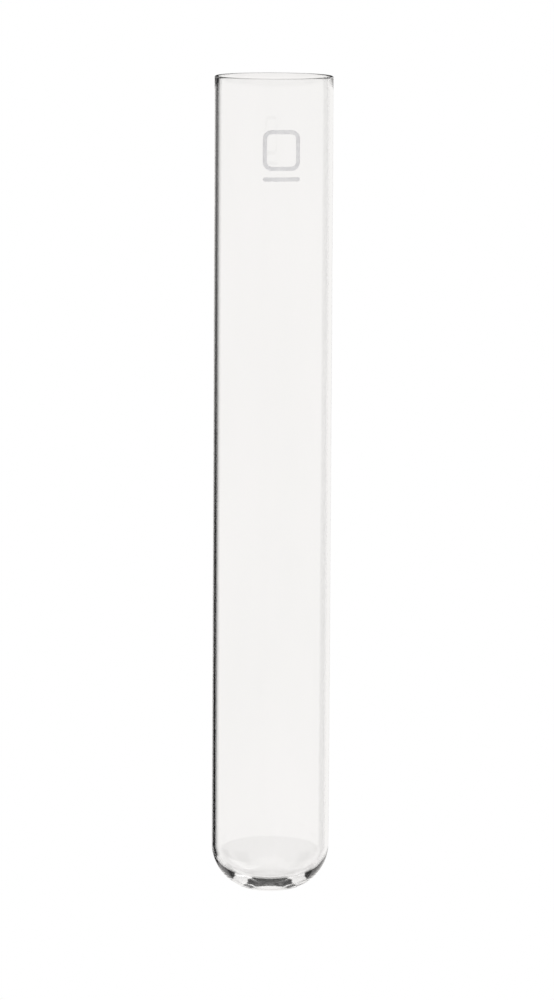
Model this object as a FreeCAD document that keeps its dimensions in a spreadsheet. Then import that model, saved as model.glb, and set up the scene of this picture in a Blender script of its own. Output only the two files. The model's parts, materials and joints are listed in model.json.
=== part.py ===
"""Borosilicate test tube of nominal size 30 x 200 mm: a straight fire-polished rim, a rounded
bottom flattened at its crown, and a fired enamel print below the rim on the front (-Y).

Millimetres, +Z up along the tube's axis, with the origin at the lowest point of the bottom.
"""
import FreeCAD, Part
import math
import os

import Sketcher

# alias, value: every driving size of the tube
DIMENSIONS = [
    # the glass
    ("outer_diameter", 29.4),
    ("wall_thickness", 0.85),
    ("total_length", 204.0),
    ("outer_crown_radius", 27.1),
    ("outer_knuckle_radius", 11.75),
    ("base_thickness", 1.7),
    ("inner_crown_radius", 19.1),
    ("inner_knuckle_radius", 8.8),
    # the enamel print
    ("enamel_thickness", 0.04),
    ("print_drop_below_rim", 12.5),
    ("print_turn_degrees", 7.8),
    ("frame_width", 9.2),
    ("frame_height", 10.0),
    ("frame_corner_radius", 2.2),
    ("frame_line_width", 1.0),
    ("rule_gap", 1.6),
    ("rule_width", 9.2),
    ("rule_height", 1.0),
]

SHEET = "<<dimensions>>."
FULL_TURN = 360.0
QUARTER = math.pi / 2

# points of a sketch element: its start, its end and an arc's centre
START, END, CENTRE = 1, 2, 3
# the sketch's own references: the origin with the horizontal axis, and the vertical axis
ORIGIN, VERTICAL_AXIS = -1, -2

# how far the print's block stands out of the wall, and the cut around it, in wall thicknesses
BLOCK_REACH = 3.0
CUT_REACH = 6.0
# the round ends of the rule, in its heights: just under half leaves each end a straight edge
RULE_END = 0.45


def make_sheet(doc):
    """The driving dimensions, one aliased cell to a row."""
    sheet = doc.addObject("Spreadsheet::Sheet", "dimensions")
    sheet.Label = "dimensions"
    for row, (alias, value) in enumerate(DIMENSIONS, start=1):
        sheet.set(f"A{row}", alias)
        sheet.set(f"B{row}", str(value))
        sheet.setAlias(f"B{row}", alias)
    doc.recompute()
    return sheet


def origin_feature(body, role):
    """The body's own origin plane or axis of that role."""
    return next(item for item in body.Origin.OriginFeatures if item.Role == role)


def make_body(doc, label):
    body = doc.addObject("PartDesign::Body", label)
    body.Label = label
    body.Placement = FreeCAD.Placement()
    return body


def make_sketch(body, name):
    """A sketch on the body's front plane: X across, and the tube's axis up."""
    sketch = body.newObject("Sketcher::SketchObject", name)
    sketch.AttachmentSupport = [(origin_feature(body, "XZ_Plane"), "")]
    sketch.MapMode = "FlatFace"
    return sketch


def vector(across, up):
    return FreeCAD.Vector(across, up, 0)


def arc(centre, radius, start_angle, end_angle):
    circle = Part.Circle(centre, FreeCAD.Vector(0, 0, 1), radius)
    return Part.ArcOfCircle(circle, start_angle, end_angle)


def measure(item, expression):
    """The present value of an expression over the sheet's cells."""
    return float(item.evalExpression(expression))


def drive(sketch, kind, arguments, name, expression):
    """A named dimension of the sketch, bound to the sheet."""
    value = measure(sketch, expression)
    index = sketch.addConstraint(Sketcher.Constraint(kind, *arguments, value))
    sketch.renameConstraint(index, name)
    sketch.setExpression(f"Constraints.{name}", expression)


def bowl_arcs(floor_height, crown_radius, knuckle_radius, wall_radius):
    """A rounded bottom's half outline: a crown arc about the axis, then a tighter knuckle arc
    that runs into the straight wall. Returns both arcs and the height of the knuckle's top."""
    reach = wall_radius - knuckle_radius
    crown_centre = floor_height + crown_radius
    knuckle_top = crown_centre - math.sqrt((crown_radius - knuckle_radius) ** 2 - reach ** 2)
    meeting_angle = math.atan2(knuckle_top - crown_centre, reach)
    crown = arc(vector(0, crown_centre), crown_radius, -QUARTER, meeting_angle)
    knuckle = arc(vector(reach, knuckle_top), knuckle_radius, meeting_angle, 0)
    return crown, knuckle, knuckle_top


def make_glass_body(doc, sheet):
    """The drawn tube with its closed bottom and rounded lip, revolved as one piece of glass."""
    body = make_body(doc, "glass_body")
    profile = make_sketch(body, "glass_profile")

    outer_radius = sheet.outer_diameter / 2
    inner_radius = outer_radius - sheet.wall_thickness
    lip_radius = sheet.wall_thickness / 2
    lip_height = sheet.total_length - lip_radius
    outer_crown, outer_knuckle, outer_top = bowl_arcs(
        0, sheet.outer_crown_radius, sheet.outer_knuckle_radius, outer_radius)
    inner_crown, inner_knuckle, inner_top = bowl_arcs(
        sheet.base_thickness, sheet.inner_crown_radius, sheet.inner_knuckle_radius, inner_radius)

    crown_out = profile.addGeometry(outer_crown)
    knuckle_out = profile.addGeometry(outer_knuckle)
    wall_out = profile.addGeometry(
        Part.LineSegment(vector(outer_radius, outer_top), vector(outer_radius, lip_height)))
    lip = profile.addGeometry(
        arc(vector(outer_radius - lip_radius, lip_height), lip_radius, 0, math.pi))
    wall_in = profile.addGeometry(
        Part.LineSegment(vector(inner_radius, lip_height), vector(inner_radius, inner_top)))
    knuckle_in = profile.addGeometry(inner_knuckle)
    crown_in = profile.addGeometry(inner_crown)
    floor = profile.addGeometry(
        Part.LineSegment(vector(0, sheet.base_thickness), vector(0, 0)))

    # the outline runs smoothly from the lowest point, up the outside, over the lip and down
    smooth_joins = [
        (crown_out, END, knuckle_out, START),
        (knuckle_out, END, wall_out, START),
        (wall_out, END, lip, START),
        (lip, END, wall_in, START),
        (wall_in, END, knuckle_in, END),
        (knuckle_in, START, crown_in, END),
    ]
    for join in smooth_joins:
        profile.addConstraint(Sketcher.Constraint("Tangent", *join))
    profile.addConstraint(Sketcher.Constraint("Coincident", crown_in, START, floor, START))
    profile.addConstraint(Sketcher.Constraint("Coincident", floor, END, crown_out, START))
    profile.addConstraint(Sketcher.Constraint("Coincident", floor, END, ORIGIN, START))
    for wall in (wall_out, wall_in):
        profile.addConstraint(Sketcher.Constraint("Vertical", wall))
    for point in ((crown_out, CENTRE), (crown_in, CENTRE), (floor, START)):
        profile.addConstraint(Sketcher.Constraint("PointOnObject", *point, VERTICAL_AXIS))

    drive(profile, "Radius", (crown_out,), "outer_crown", SHEET + "outer_crown_radius")
    drive(profile, "Radius", (knuckle_out,), "outer_knuckle", SHEET + "outer_knuckle_radius")
    drive(profile, "Radius", (crown_in,), "inner_crown", SHEET + "inner_crown_radius")
    drive(profile, "Radius", (knuckle_in,), "inner_knuckle", SHEET + "inner_knuckle_radius")
    drive(profile, "Radius", (lip,), "lip", SHEET + "wall_thickness / 2")
    drive(profile, "DistanceX", (ORIGIN, START, wall_out, START), "outer_wall",
          SHEET + "outer_diameter / 2")
    drive(profile, "DistanceY", (ORIGIN, START, lip, CENTRE), "lip_height",
          SHEET + "total_length - " + SHEET + "wall_thickness / 2")
    drive(profile, "DistanceY", (floor, END, floor, START), "base", SHEET + "base_thickness")

    tube = body.newObject("PartDesign::Revolution", "tube")
    tube.Profile = profile
    tube.ReferenceAxis = (profile, ["V_Axis"])
    tube.Angle = FULL_TURN
    return body


def add_rounded_rectangle(sketch, name, sizes):
    """A rounded rectangle centred on the tube's axis. Sizes holds the sheet's expressions for
    its width, its height, its corner radius and the height of its upper edge."""
    width, height, corner_radius, top_height = (measure(sketch, size) for size in sizes)
    left, right = -width / 2, width / 2
    low, high = top_height - height, top_height
    inner_left, inner_right = left + corner_radius, right - corner_radius
    inner_low, inner_high = low + corner_radius, high - corner_radius
    # corner centres and the edges that follow them, counter-clockwise from the lower right
    corners = [
        vector(inner_right, inner_low),
        vector(inner_right, inner_high),
        vector(inner_left, inner_high),
        vector(inner_left, inner_low),
    ]
    sides = [
        (vector(right, inner_low), vector(right, inner_high)),
        (vector(inner_right, high), vector(inner_left, high)),
        (vector(left, inner_high), vector(left, inner_low)),
        (vector(inner_left, low), vector(inner_right, low)),
    ]
    bends = []
    for turns, centre in enumerate(corners, start=-1):
        bend = arc(centre, corner_radius, turns * QUARTER, (turns + 1) * QUARTER)
        bends.append(sketch.addGeometry(bend))
    edges = [sketch.addGeometry(Part.LineSegment(begin, end)) for begin, end in sides]
    for bend, edge, next_bend in zip(bends, edges, bends[1:] + bends[:1]):
        sketch.addConstraint(Sketcher.Constraint("Tangent", bend, END, edge, START))
        sketch.addConstraint(Sketcher.Constraint("Tangent", edge, END, next_bend, START))
    right_edge, top_edge, left_edge, bottom_edge = edges
    for edge in (right_edge, left_edge):
        sketch.addConstraint(Sketcher.Constraint("Vertical", edge))
    for edge in (top_edge, bottom_edge):
        sketch.addConstraint(Sketcher.Constraint("Horizontal", edge))
    for other in bends[1:]:
        sketch.addConstraint(Sketcher.Constraint("Equal", bends[0], other))

    across, tall, corner, top = sizes
    drive(sketch, "Radius", (bends[0],), f"{name}_corner", corner)
    drive(sketch, "DistanceX", (left_edge, START, right_edge, START), f"{name}_width", across)
    drive(sketch, "DistanceX", (ORIGIN, START, right_edge, START), f"{name}_side", f"({across}) / 2")
    drive(sketch, "DistanceY", (bottom_edge, START, top_edge, START), f"{name}_height", tall)
    drive(sketch, "DistanceY", (ORIGIN, START, top_edge, START), f"{name}_top", top)


def add_band(sketch, name, inner_radius, outer_radius):
    """A rectangle beside the axis, as tall as the tube, between two radii that are given as the
    sheet's expressions. With no inner radius it starts on the axis."""
    near = measure(sketch, inner_radius) if inner_radius else 0.0
    far = measure(sketch, outer_radius)
    high = measure(sketch, SHEET + "total_length")
    corners = [vector(near, 0), vector(far, 0), vector(far, high), vector(near, high)]
    lines = []
    for begin, end in zip(corners, corners[1:] + corners[:1]):
        lines.append(sketch.addGeometry(Part.LineSegment(begin, end)))
    for line, next_line in zip(lines, lines[1:] + lines[:1]):
        sketch.addConstraint(Sketcher.Constraint("Coincident", line, END, next_line, START))
    bottom, outer, top, inner = lines
    for line in (bottom, top):
        sketch.addConstraint(Sketcher.Constraint("Horizontal", line))
    for line in (outer, inner):
        sketch.addConstraint(Sketcher.Constraint("Vertical", line))
    sketch.addConstraint(Sketcher.Constraint("PointOnObject", bottom, START, ORIGIN))
    if inner_radius:
        drive(sketch, "DistanceX", (ORIGIN, START, inner, END), f"{name}_inner", inner_radius)
    else:
        sketch.addConstraint(Sketcher.Constraint("PointOnObject", inner, END, VERTICAL_AXIS))
    drive(sketch, "DistanceX", (ORIGIN, START, outer, START), f"{name}_outer", outer_radius)
    drive(sketch, "DistanceY", (ORIGIN, START, top, START), f"{name}_top", SHEET + "total_length")


def shave_to_skin(body):
    """Cuts a block that stands across the front wall down to the thin skin of enamel on it."""
    wall_radius = SHEET + "outer_diameter / 2"
    skin_radius = f"{wall_radius} + {SHEET}enamel_thickness"
    beyond = f"{skin_radius} + {CUT_REACH} * {SHEET}wall_thickness"
    cuts = (("outside", skin_radius, beyond), ("inside", None, wall_radius))
    for name, inner_radius, outer_radius in cuts:
        band = make_sketch(body, f"{body.Label}_{name}_band")
        add_band(band, name, inner_radius, outer_radius)
        groove = body.newObject("PartDesign::Groove", f"{body.Label}_{name}_cut")
        groove.Profile = band
        groove.ReferenceAxis = (band, ["V_Axis"])
        groove.Angle = FULL_TURN


def make_print(doc, label, outlines):
    """One enamel figure: the outlines' area, carried to the front wall and shaved to a skin."""
    body = make_body(doc, label)
    figure = make_sketch(body, f"{label}_outline")
    for name, sizes in outlines:
        add_rounded_rectangle(figure, name, sizes)
    block = body.newObject("PartDesign::Pad", f"{label}_block")
    block.Profile = figure
    # the sketches on the front plane face -Y, the side that the print is on
    length = f"{SHEET}outer_diameter / 2 + {BLOCK_REACH} * {SHEET}wall_thickness"
    block.setExpression("Length", length)
    doc.recompute()
    shave_to_skin(body)
    body.setExpression("Placement.Rotation.Angle", SHEET + "print_turn_degrees")
    return body


def make_marking_frame(doc):
    """A blank writing spot: the outline of a rounded rectangle."""
    line = SHEET + "frame_line_width"
    width = SHEET + "frame_width"
    height = SHEET + "frame_height"
    corner = SHEET + "frame_corner_radius"
    top = f"{SHEET}total_length - {SHEET}print_drop_below_rim"
    outside = (width, height, corner, top)
    inside = (f"{width} - 2 * {line}", f"{height} - 2 * {line}", f"{corner} - {line}",
              f"{top} - {line}")
    return make_print(doc, "marking_frame", [("outside_edge", outside), ("inside_edge", inside)])


def make_marking_rule(doc):
    """A plain bar with round ends, centred below the writing spot."""
    top = (f"{SHEET}total_length - {SHEET}print_drop_below_rim - {SHEET}frame_height"
           f" - {SHEET}rule_gap")
    height = SHEET + "rule_height"
    edge = (SHEET + "rule_width", height, f"{RULE_END} * {height}", top)
    return make_print(doc, "marking_rule", [("edge", edge)])


def check(doc, pieces):
    """Stops on a failed object, a loose sketch, or a piece that isn't one valid solid."""
    for item in doc.Objects:
        if "Invalid" in item.State or "Error" in item.State:
            raise RuntimeError(f"{item.Label} failed: {item.State}")
        if item.TypeId == "Sketcher::SketchObject" and not item.FullyConstrained:
            raise RuntimeError(f"{item.Label} isn't fully constrained")
    for piece in pieces:
        if piece.Shape.isNull() or not piece.Shape.isValid():
            raise RuntimeError(f"{piece.Label} has no valid shape")
        if len(piece.Shape.Solids) != 1:
            raise RuntimeError(f"{piece.Label} has {len(piece.Shape.Solids)} solids")


def main():
    doc = FreeCAD.newDocument("test_tube")
    sheet = make_sheet(doc)
    pieces = [
        make_glass_body(doc, sheet),
        make_marking_frame(doc),
        make_marking_rule(doc),
    ]
    doc.recompute()
    check(doc, pieces)
    os.makedirs("parts", exist_ok=True)
    for piece in pieces:
        piece.Shape.exportStep(f"parts/{piece.Label}.step")
        box = piece.Shape.BoundBox
        print(f"{piece.Label}: {piece.Shape.Volume:.2f} mm3, x {box.XMin:.2f}..{box.XMax:.2f}, "
              f"y {box.YMin:.2f}..{box.YMax:.2f}, z {box.ZMin:.2f}..{box.ZMax:.2f}")


main()
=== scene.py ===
import json
import math
import random

import bmesh
import bpy
from mathutils import Matrix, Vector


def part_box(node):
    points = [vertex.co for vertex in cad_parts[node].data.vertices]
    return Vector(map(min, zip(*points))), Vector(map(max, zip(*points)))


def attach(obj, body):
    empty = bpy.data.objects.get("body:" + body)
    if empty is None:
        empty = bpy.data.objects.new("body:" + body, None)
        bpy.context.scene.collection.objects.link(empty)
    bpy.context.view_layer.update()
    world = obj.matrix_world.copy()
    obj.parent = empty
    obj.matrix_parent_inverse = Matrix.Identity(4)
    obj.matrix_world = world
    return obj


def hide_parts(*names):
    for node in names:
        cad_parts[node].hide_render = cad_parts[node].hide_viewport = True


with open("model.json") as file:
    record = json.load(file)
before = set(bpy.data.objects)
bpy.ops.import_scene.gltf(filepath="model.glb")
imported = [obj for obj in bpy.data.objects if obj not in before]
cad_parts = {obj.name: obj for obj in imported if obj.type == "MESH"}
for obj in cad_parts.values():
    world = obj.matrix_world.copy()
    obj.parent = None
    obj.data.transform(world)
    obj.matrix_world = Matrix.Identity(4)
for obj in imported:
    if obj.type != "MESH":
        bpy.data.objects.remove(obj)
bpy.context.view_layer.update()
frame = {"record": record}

MM = 0.001
# radii below this lie on the axis
TINY = 1e-9

# the tube, read from the frame: its length and its radii
GLASS_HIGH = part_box("glass_body")[1]
LENGTH = GLASS_HIGH[2]
OUTER_RADIUS = GLASS_HIGH[0]
MOUNTS = {mount["name"]: mount for mount in frame["record"]["mounts"]}
INNER_RADIUS = MOUNTS["mouth"]["dims"]["r_mm"] * MM
WALL = OUTER_RADIUS - INNER_RADIUS

# the rounded bottom: a crown about the axis and a tighter knuckle beside the wall
OUTER_CROWN = 27.1 * MM
OUTER_KNUCKLE = 11.75 * MM
BASE_THICKNESS = 1.7 * MM
INNER_CROWN = 19.1 * MM
INNER_KNUCKLE = 8.8 * MM

# drawing leaves fine lines down the tube that sway along it, all inside the true skin: each set
# has a count of lines round the tube, a count for its sway along it, and a share of the depth
DRAW_LINES = [(3, 4.0, 0.25), (7, 9.0, 0.3), (13, 14.0, 0.25), (22, 21.0, 0.2)]
DRAW_DEPTH = 0.012 * MM
DRAW_SWAY = 0.6
DRAW_SEED = 7
# the lines fade out over this length below the lip, and by this power as the bottom narrows
LIP_CALM = 4 * MM
BOTTOM_CALM = 4

# the enamel print: a frame of a line of one width, and a bar with round ends
PRINT_TURN = math.radians(7.8)
PRINT_DROP = 12.5 * MM
PRINT_GAP = 1.6 * MM
LINE_WIDTH = 1.0 * MM
CORNER_RADIUS = 2.2 * MM
FRAME_SIZE = (9.2 * MM, 10.0 * MM)
RULE_SIZE = (9.2 * MM, 1.0 * MM)
# the radius of the bar's round ends, in its heights
RULE_END = 0.45
# the enamel's top above the wall, and its underside within it
ENAMEL_CREST = 0.039 * MM
ENAMEL_ROOT = -0.02 * MM
# across a printed line: the place from edge to edge, and the height as a share of the crest
ENAMEL_SECTION = [(-1.0, 0.15), (-0.95, 0.6), (-0.84, 0.9), (-0.6, 1.0), (0.0, 0.94),
                  (0.6, 1.0), (0.84, 0.9), (0.95, 0.6), (1.0, 0.15)]
PRINT_STEP = 0.12 * MM
# the printed edge falls short by up to this much, in waves of these radians to the metre
PRINT_BLEED = 0.02 * MM
BLEED_WAVES = (900, 2300, 5200)
FRAME_SEED = 3
RULE_SEED = 5

# mesh fineness
TURN_STEPS = 256
WALL_STEPS = 60
CROWN_STEPS = 14
KNUCKLE_STEPS = 22
LIP_STEPS = 14
CORNER_STEPS = 12

# the camera: it stands in front, level with a point above the rim, and looks slightly down
CAMERA_DISTANCE = 1.477
CAMERA_HEIGHT = 0.2865
CAMERA_PITCH = math.radians(7.255)
CAMERA_ROLL = math.radians(0.315)
CAMERA_YAW = math.radians(0.05)
LENS = 215.3
SENSOR = 36.0

# the studio, in degrees of azimuth (from +Y towards +X) and of elevation: a white sweep below
# the horizon and a white room above it, both with dark shapes whose edges are soft
HORIZON = 0.0
SWEEP_LIGHT = (0.93, 0.915, 0.905)
DARK_LIGHT = 0.008
SOFT = 2.0
# the card that draws the tube's left edge: where it stands and ends, and the small share of its
# darkness that it loses towards the horizon
EDGE_CARD = (-52, -16)
EDGE_CARD_FOOT = -21.5
EDGE_CARD_FADE = (-9, -2)
EDGE_CARD_LOSS = 0.14
# low grey cards that draw the tube's edges from other sides
LOW_CARDS = [(-88, -64), (-135, -105), (92, 118)]
LOW_CARD_TOP = -12.5
LOW_CARD_SHARE = 0.55
# a grey seam in the sweep behind the tube, which its bottom shows as a fine line
SEAM_BAND = (-45, -37)
SEAM_REACH = 60
SEAM_SHARE = 0.7
# dark flats from the horizon up, behind the tube and at both sides of it: the last two reach past
# the front, at 180 degrees, so that they meet there
HIGH_FLATS = [(-16, 16), (-190, -50), (50, 190)]
FLAT_TOP = 70

# a soft box behind the tube whose lower edge is level with the rim, as bright as the room: width
# and height, place, turn and watts
HIGH_BOX_SIZE = (0.24, 0.3)
HIGH_BOX_PLACE = (0.2, 0.3, 0.345)
HIGH_BOX_TURN = (-math.pi / 2, 0, 0)
HIGH_BOX_POWER = math.pi * HIGH_BOX_SIZE[0] * HIGH_BOX_SIZE[1]

# a soft box in front, for the enamel
FRONT_BOX_SIZE = (0.8, 0.6)
FRONT_BOX_PLACE = (0.2, -0.9, 0.55)
FRONT_BOX_TURN = (math.radians(68), 0, math.radians(12))
FRONT_BOX_POWER = 4.9

FLOOR_RADIUS = 0.3
FLOOR_SIDES = 64

# refractive indices
GLASS_INDEX = 1.473
ENAMEL_INDEX = 1.5

# light turns many times inside the wall before it leaves
GLASS_BOUNCES = 40
GLOSSY_BOUNCES = 24


def arc_points(centre, radius, start, end, steps):
    """Points (radius from the axis, height) along an arc, both ends included."""
    points = []
    for step in range(steps + 1):
        angle = start + (end - start) * step / steps
        points.append((centre[0] + radius * math.cos(angle), centre[1] + radius * math.sin(angle)))
    return points


def bowl_points(floor_height, crown, knuckle, wall_radius):
    """A rounded bottom's outline from the axis out to the straight wall."""
    reach = wall_radius - knuckle
    crown_centre = floor_height + crown
    knuckle_top = crown_centre - math.sqrt((crown - knuckle) ** 2 - reach ** 2)
    meeting = math.atan2(knuckle_top - crown_centre, reach)
    points = arc_points((0, crown_centre), crown, -math.pi / 2, meeting, CROWN_STEPS)
    return points[:-1] + arc_points((reach, knuckle_top), knuckle, meeting, 0, KNUCKLE_STEPS)


def line_points(start, end, steps):
    """Points along a straight line, without its two ends."""
    points = []
    for step in range(1, steps):
        share = step / steps
        points.append((start[0] + (end[0] - start[0]) * share,
                       start[1] + (end[1] - start[1]) * share))
    return points


def glass_profile():
    """The glass's half outline from the lowest point, up the outside, over the lip and down the
    inside to the axis again."""
    outer = bowl_points(0, OUTER_CROWN, OUTER_KNUCKLE, OUTER_RADIUS)
    inner = bowl_points(BASE_THICKNESS, INNER_CROWN, INNER_KNUCKLE, INNER_RADIUS)
    lip_radius = WALL / 2
    lip = arc_points((OUTER_RADIUS - lip_radius, LENGTH - lip_radius), lip_radius, 0, math.pi,
                     LIP_STEPS)
    inside = inner + line_points(inner[-1], lip[-1], WALL_STEPS)
    return outer + line_points(outer[-1], lip[0], WALL_STEPS) + lip + inside[::-1]


def draw_wave(angle, height, phases):
    """The depth of the draw lines here, from 0 to 1."""
    total = 0.5
    for (lines, swells, share), (turn, rise) in zip(DRAW_LINES, phases):
        swell = math.cos(swells * height / LENGTH + rise)
        total += 0.5 * share * math.cos(lines * angle + turn + DRAW_SWAY * swell)
    return total


def make_glass_tube():
    """The tube, revolved, with its draw lines fading out at the lip and towards the bottom."""
    chance = random.Random(DRAW_SEED)
    phases = [(chance.uniform(0, 2 * math.pi), chance.uniform(0, 2 * math.pi))
              for _ in DRAW_LINES]
    mesh = bmesh.new()
    rings = []
    for radius, height in glass_profile():
        narrowed = min(1.0, radius / INNER_RADIUS) ** BOTTOM_CALM
        calm = narrowed * min(1.0, (LENGTH - height) / LIP_CALM)
        ring = []
        for step in range(TURN_STEPS if radius > TINY else 1):
            angle = 2 * math.pi * step / TURN_STEPS
            near = radius - DRAW_DEPTH * calm * draw_wave(angle, height, phases)
            ring.append(mesh.verts.new((near * math.cos(angle), near * math.sin(angle), height)))
        rings.append(ring)
    for ring, next_ring in zip(rings, rings[1:]):
        join_rings(mesh, ring, next_ring)
    return finish_mesh("glass_tube", mesh)


def join_rings(mesh, ring, next_ring):
    """Faces between two closed rings, either of which may be a single point."""
    steps = max(len(ring), len(next_ring))
    for step in range(steps):
        after = (step + 1) % steps
        if len(ring) == 1:
            mesh.faces.new((ring[0], next_ring[after], next_ring[step]))
        elif len(next_ring) == 1:
            mesh.faces.new((ring[step], ring[after], next_ring[0]))
        else:
            mesh.faces.new((ring[step], ring[after], next_ring[after], next_ring[step]))


def finish_mesh(name, mesh):
    """A smooth-shaded piece from a finished mesh, in the scene."""
    bmesh.ops.recalc_face_normals(mesh, faces=mesh.faces)
    data = bpy.data.meshes.new(name)
    mesh.to_mesh(data)
    mesh.free()
    data.polygons.foreach_set("use_smooth", [True] * len(data.polygons))
    piece = bpy.data.objects.new(name, data)
    bpy.context.scene.collection.objects.link(piece)
    return piece


def on_wall(across, up, height):
    """The point of the outer wall that lies behind a point of the flat print, raised by a
    height, with the print turned to its place."""
    angle = math.asin(across / OUTER_RADIUS) + PRINT_TURN
    radius = OUTER_RADIUS + height
    return (radius * math.sin(angle), -radius * math.cos(angle), up)


def print_line(name, stations, closed):
    """One printed line: stations of (across, up, sideways across, sideways up, half width)
    along its middle, swept with the enamel's crested section."""
    mesh = bmesh.new()
    rings = []
    for across, up, side_across, side_up, half in stations:
        ring = []
        for place, share in ENAMEL_SECTION:
            ring.append(mesh.verts.new(on_wall(across + side_across * half * place,
                                               up + side_up * half * place,
                                               ENAMEL_CREST * share)))
        for place, _ in ENAMEL_SECTION[::-1]:
            ring.append(mesh.verts.new(on_wall(across + side_across * half * place,
                                               up + side_up * half * place, ENAMEL_ROOT)))
        rings.append(ring)
    for ring, next_ring in zip(rings, rings[1:] + rings[:1] if closed else rings[1:]):
        join_rings(mesh, ring, next_ring)
    if not closed:
        mesh.faces.new(rings[0])
        mesh.faces.new(rings[-1])
    return finish_mesh(name, mesh)


def bleed(place, seed):
    """How far the printed edge falls short here, from the screen's weave and the firing."""
    chance = random.Random(seed)
    total = 0.0
    for waves in BLEED_WAVES:
        total += math.cos(waves * place + chance.uniform(0, 2 * math.pi)) / len(BLEED_WAVES)
    return PRINT_BLEED * (0.5 + 0.5 * total)


def make_frame_enamel():
    """A rounded rectangle's outline, as one closed line."""
    width, height = FRAME_SIZE
    half = LINE_WIDTH / 2
    bend = CORNER_RADIUS - half
    reach_x, reach_y = width / 2 - CORNER_RADIUS, height / 2 - CORNER_RADIUS
    middle = LENGTH - PRINT_DROP - height / 2
    corners = [(reach_x, -reach_y), (reach_x, reach_y), (-reach_x, reach_y), (-reach_x, -reach_y)]
    path = []
    for turn, (x, y) in enumerate(corners):
        start = (turn - 1) * math.pi / 2
        for step in range(CORNER_STEPS + 1):
            angle = start + math.pi / 2 * step / CORNER_STEPS
            path.append((x + bend * math.cos(angle), y + bend * math.sin(angle),
                         math.cos(angle), math.sin(angle)))
        next_x, next_y = corners[(turn + 1) % 4]
        away = (math.cos(start + math.pi / 2), math.sin(start + math.pi / 2))
        run = math.hypot(next_x - x, next_y - y)
        steps = round(run / PRINT_STEP)
        for step in range(1, steps):
            share = step / steps
            path.append((x + (next_x - x) * share + bend * away[0],
                         y + (next_y - y) * share + bend * away[1], *away))
    stations = [(x, middle + y, side_x, side_y, half - bleed(index * PRINT_STEP, FRAME_SEED))
                for index, (x, y, side_x, side_y) in enumerate(path)]
    return print_line("marking_frame_enamel", stations, True)


def make_rule_enamel():
    """A bar with round ends."""
    width, height = RULE_SIZE
    up = LENGTH - PRINT_DROP - FRAME_SIZE[1] - PRINT_GAP - height / 2
    end = RULE_END * height
    stations = []
    steps = round(width / PRINT_STEP)
    for step in range(steps + 1):
        share = step / steps
        across = width * (share - 0.5)
        over = max(0.0, abs(across) - (width / 2 - end))
        half = height / 2 - end + math.sqrt(max(0.0, end ** 2 - over ** 2))
        stations.append((across, up, 0.0, 1.0, half - bleed(across, RULE_SEED)))
    return print_line("marking_rule_enamel", stations, False)


class NodeMaker:
    """Short ways to add and join nodes in one tree."""

    def __init__(self, tree):
        self.nodes, self.links = tree.nodes, tree.links

    def add(self, kind, **settings):
        node = self.nodes.new(kind)
        for key, value in settings.items():
            setattr(node, key, value)
        return node

    def feed(self, node, sources):
        """Sets or joins a node's inputs, given by name or number, and returns the node."""
        for key, source in sources.items():
            if isinstance(source, bpy.types.NodeSocket):
                self.links.new(source, node.inputs[key])
            else:
                node.inputs[key].default_value = source
        return node

    def math(self, operation, *values):
        node = self.add("ShaderNodeMath", operation=operation)
        return self.feed(node, dict(enumerate(values))).outputs[0]

    def product(self, first, *others):
        """Two or more values multiplied."""
        for other in others:
            first = self.math("MULTIPLY", first, other)
        return first

    def step(self, value, low, high):
        """A smooth rise from 0 below low to 1 above high."""
        node = self.add("ShaderNodeMapRange", interpolation_type="SMOOTHSTEP")
        return self.feed(node, {"Value": value, "From Min": low, "From Max": high}).outputs[0]

    def rise(self, value, foot):
        """0 below the foot and 1 above it, with a soft edge."""
        return self.step(value, foot - SOFT / 2, foot + SOFT / 2)

    def fall(self, value, top):
        """1 below the top and 0 above it, with a soft edge."""
        return self.math("SUBTRACT", 1.0, self.rise(value, top))

    def blend(self, factor, first, second):
        """A mix of two colours, each a socket or three numbers."""
        node = self.add("ShaderNodeMix", data_type="RGBA")
        colors = [color if isinstance(color, bpy.types.NodeSocket) else (*color, 1.0)
                  for color in (first, second)]
        self.feed(node, {"Factor": factor, 6: colors[0], 7: colors[1]})
        return node.outputs[2]

    def scale(self, value, low, high):
        """A value from 0 to 1 carried to a range."""
        return self.feed(self.add("ShaderNodeMapRange"),
                         {"Value": value, "To Min": low, "To Max": high}).outputs[0]

    def windows(self, value, ranges):
        """1 inside any of the ranges, with soft edges."""
        total = 0.0
        for low, high in ranges:
            rise = self.step(value, low - SOFT, low + SOFT)
            fall = self.step(value, high - SOFT, high + SOFT)
            total = self.math("ADD", total, self.math("SUBTRACT", rise, fall))
        return total

    def noise(self, place, scale, detail=2.0, roughness=0.5):
        """Noise from 0 to 1, with so many waves to the metre."""
        node = self.add("ShaderNodeTexNoise")
        return self.feed(node, {"Vector": place, "Scale": scale, "Detail": detail,
                                "Roughness": roughness}).outputs["Fac"]

    def stretch(self, place, factors):
        """A place scaled along each axis: small factors draw a texture out that way."""
        node = self.add("ShaderNodeVectorMath", operation="MULTIPLY")
        return self.feed(node, {0: place, 1: factors}).outputs[0]

    def ramp(self, value, stops):
        """A value from 0 to 1 turned into colour, by stops of (place, colour)."""
        node = self.add("ShaderNodeValToRGB")
        ramp = node.color_ramp
        while len(ramp.elements) < len(stops):
            ramp.elements.new(1.0)
        for element, (place, color) in zip(ramp.elements, stops):
            element.position = place
            element.color = (*color, 1.0)
        return self.feed(node, {"Fac": value}).outputs["Color"]


def new_material(name):
    """A material, its node maker and its main shader."""
    material = bpy.data.materials.new(name)
    material.use_nodes = True
    make = NodeMaker(material.node_tree)
    return material, make, material.node_tree.nodes["Principled BSDF"]


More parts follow.
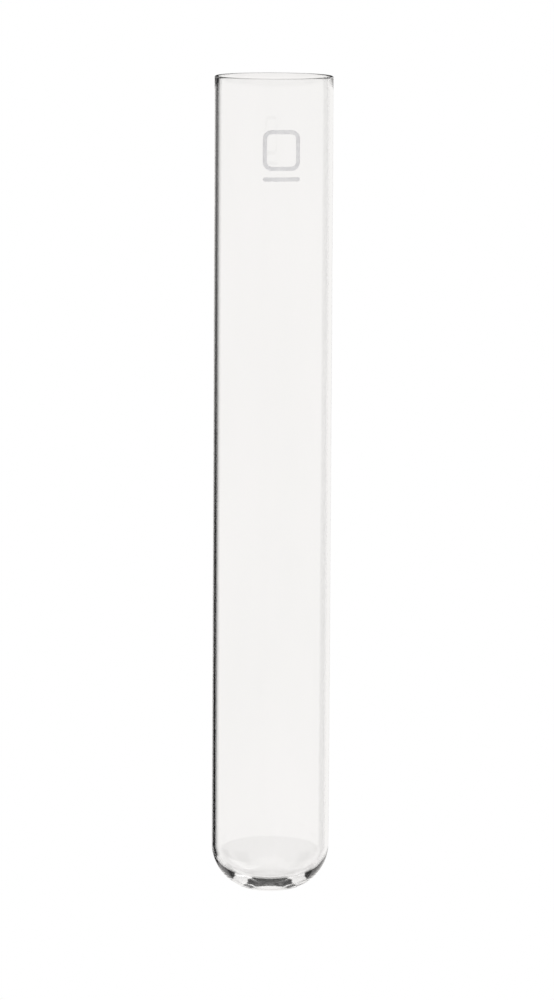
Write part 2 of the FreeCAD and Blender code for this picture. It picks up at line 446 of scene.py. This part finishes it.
def glass_material():
    """Clear borosilicate: faint draw lines, seed-fine ripple, and a trace of handling film."""
    material, make, shader = new_material("clear_glass")
    place = make.add("ShaderNodeTexCoord").outputs["Object"]
    lines = make.noise(make.stretch(place, (1.0, 1.0, 0.02)), 420.0, 3.0)
    ripple = make.noise(place, 90.0, 2.0)
    film = make.noise(make.stretch(place, (1.0, 1.0, 0.35)), 60.0, 4.0, 0.6)
    height = make.math("ADD", make.product(lines, 0.6), make.product(ripple, 0.4))
    bump = make.feed(make.add("ShaderNodeBump"),
                     {"Height": height, "Strength": 0.012, "Distance": 0.0004})
    tint = make.ramp(film, [(0.35, (0.985, 0.988, 0.986)), (0.7, (1.0, 1.0, 1.0))])
    make.feed(shader, {
        "Base Color": tint,
        "Roughness": make.scale(make.step(film, 0.45, 0.75), 0.0, 0.02),
        "Normal": bump.outputs[0],
        "Transmission Weight": 1.0,
        "IOR": GLASS_INDEX,
    })
    return material


def enamel_material():
    """Fired white enamel: fine grain, mottle where the print is thin, and a satin skin."""
    material, make, shader = new_material("white_enamel")
    place = make.add("ShaderNodeTexCoord").outputs["Object"]
    mottle = make.noise(place, 900.0, 4.0, 0.6)
    grain = make.noise(place, 5200.0, 3.0, 0.6)
    pits = make.feed(make.add("ShaderNodeTexVoronoi"), {"Vector": place, "Scale": 3800.0})
    pit = make.step(pits.outputs["Distance"], 0.08, 0.22)
    mixed = make.math("ADD", make.product(mottle, 0.65), make.product(grain, 0.35))
    color = make.ramp(mixed, [(0.3, (0.72, 0.72, 0.735)), (0.5, (0.84, 0.84, 0.85)),
                              (0.7, (0.9, 0.9, 0.9))])
    dulled = make.add("ShaderNodeMix", data_type="RGBA", blend_type="MULTIPLY")
    make.feed(dulled, {"Factor": 1.0, 6: color, 7: make.ramp(pit, [(0.0, (0.7, 0.7, 0.7)),
                                                                   (1.0, (1.0, 1.0, 1.0))])})
    height = make.math("ADD", grain, pit)
    bump = make.feed(make.add("ShaderNodeBump"),
                     {"Height": height, "Strength": 0.35, "Distance": 0.00001})
    make.feed(shader, {
        "Base Color": dulled.outputs[2],
        "Roughness": make.scale(mottle, 0.32, 0.52),
        "Normal": bump.outputs[0],
        "IOR": ENAMEL_INDEX,
    })
    return material


def make_world():
    """The studio as light from every side. The camera itself sees plain white."""
    world = bpy.data.worlds.new("studio")
    bpy.context.scene.world = world
    world.use_nodes = True
    make = NodeMaker(world.node_tree)
    place = make.add("ShaderNodeTexCoord").outputs["Generated"]
    split = make.feed(make.add("ShaderNodeSeparateXYZ"), {0: place}).outputs
    azimuth = make.math("DEGREES", make.math("ARCTAN2", split[0], split[1]))
    elevation = make.math("DEGREES", make.math("ARCSINE", split[2]))

    loss = make.product(make.step(elevation, *EDGE_CARD_FADE), EDGE_CARD_LOSS)
    edge_card = make.product(make.windows(azimuth, [EDGE_CARD]),
                             make.math("SUBTRACT", 1.0, loss),
                             make.rise(elevation, EDGE_CARD_FOOT))
    low_cards = make.product(make.windows(azimuth, LOW_CARDS),
                             make.fall(elevation, LOW_CARD_TOP), LOW_CARD_SHARE)
    seam = make.product(make.windows(elevation, [SEAM_BAND]), SEAM_SHARE,
                        make.windows(azimuth, [(-SEAM_REACH, SEAM_REACH)]))
    cards = make.math("MAXIMUM", make.math("MAXIMUM", edge_card, low_cards), seam)
    flats = make.product(make.windows(azimuth, HIGH_FLATS), make.fall(elevation, FLAT_TOP))
    shaded = make.feed(make.add("ShaderNodeMix"),
                       {"Factor": make.fall(elevation, HORIZON), "A": flats, "B": cards})
    light = make.blend(shaded.outputs[0], SWEEP_LIGHT, (DARK_LIGHT,) * 3)
    seen = make.add("ShaderNodeLightPath").outputs["Is Camera Ray"]
    make.feed(world.node_tree.nodes["Background"],
              {"Color": make.blend(seen, light, (1.0, 1.0, 1.0))})


def make_soft_box(name, size, place, turn, power):
    """A rectangular soft box that the camera doesn't see."""
    light_data = bpy.data.lights.new(name, "AREA")
    light_data.shape = "RECTANGLE"
    light_data.size = size[0]
    light_data.size_y = size[1]
    light_data.energy = power
    light = bpy.data.objects.new(name, light_data)
    light.location = place
    light.rotation_euler = turn
    light.visible_camera = False
    bpy.context.scene.collection.objects.link(light)
    return light


def make_lights():
    """The high box behind the tube, and the front box, which leaves no image in the glass."""
    make_soft_box("high_box", HIGH_BOX_SIZE, HIGH_BOX_PLACE, HIGH_BOX_TURN, HIGH_BOX_POWER)
    front_box = make_soft_box("front_box", FRONT_BOX_SIZE, FRONT_BOX_PLACE, FRONT_BOX_TURN,
                              FRONT_BOX_POWER)
    front_box.visible_glossy = False
    front_box.visible_transmission = False


def make_floor():
    """A plain white floor under the tube that only the camera sees."""
    mesh = bmesh.new()
    bmesh.ops.create_circle(mesh, cap_ends=True, segments=FLOOR_SIDES, radius=FLOOR_RADIUS)
    floor = finish_mesh("floor", mesh)
    material, make, shader = new_material("floor")
    material.node_tree.nodes.remove(shader)
    output = material.node_tree.nodes["Material Output"]
    glow = make.feed(make.add("ShaderNodeEmission"), {"Color": (1, 1, 1, 1), "Strength": 1.0})
    make.feed(output, {"Surface": glow.outputs[0]})
    floor.data.materials.append(material)
    floor.visible_transmission = False
    floor.visible_glossy = False
    floor.visible_diffuse = False


def make_camera():
    """The camera at its place, turned, pitched down and rolled."""
    camera_data = bpy.data.cameras.new("camera")
    camera_data.lens = LENS
    camera_data.sensor_width = SENSOR
    camera_data.clip_start = 0.05
    camera = bpy.data.objects.new("camera", camera_data)
    bpy.context.scene.collection.objects.link(camera)
    yaw = Matrix.Rotation(-CAMERA_YAW, 4, "Z")
    pitch = Matrix.Rotation(math.pi / 2 - CAMERA_PITCH, 4, "X")
    roll = Matrix.Rotation(CAMERA_ROLL, 4, "Z")
    place = Matrix.Translation((0, -CAMERA_DISTANCE, CAMERA_HEIGHT))
    camera.matrix_world = place @ yaw @ pitch @ roll
    bpy.context.scene.camera = camera


def dress(piece, material, node):
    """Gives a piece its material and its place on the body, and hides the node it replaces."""
    piece.data.materials.append(material)
    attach(piece, "root")
    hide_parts(node)


dress(make_glass_tube(), glass_material(), "glass_body")
enamel = enamel_material()
dress(make_frame_enamel(), enamel, "marking_frame")
dress(make_rule_enamel(), enamel, "marking_rule")
make_world()
make_lights()
make_floor()
make_camera()
scene = bpy.context.scene
scene.view_settings.view_transform = "Standard"
scene.cycles.max_bounces = GLASS_BOUNCES
scene.cycles.transmission_bounces = GLASS_BOUNCES
scene.cycles.glossy_bounces = GLOSSY_BOUNCES
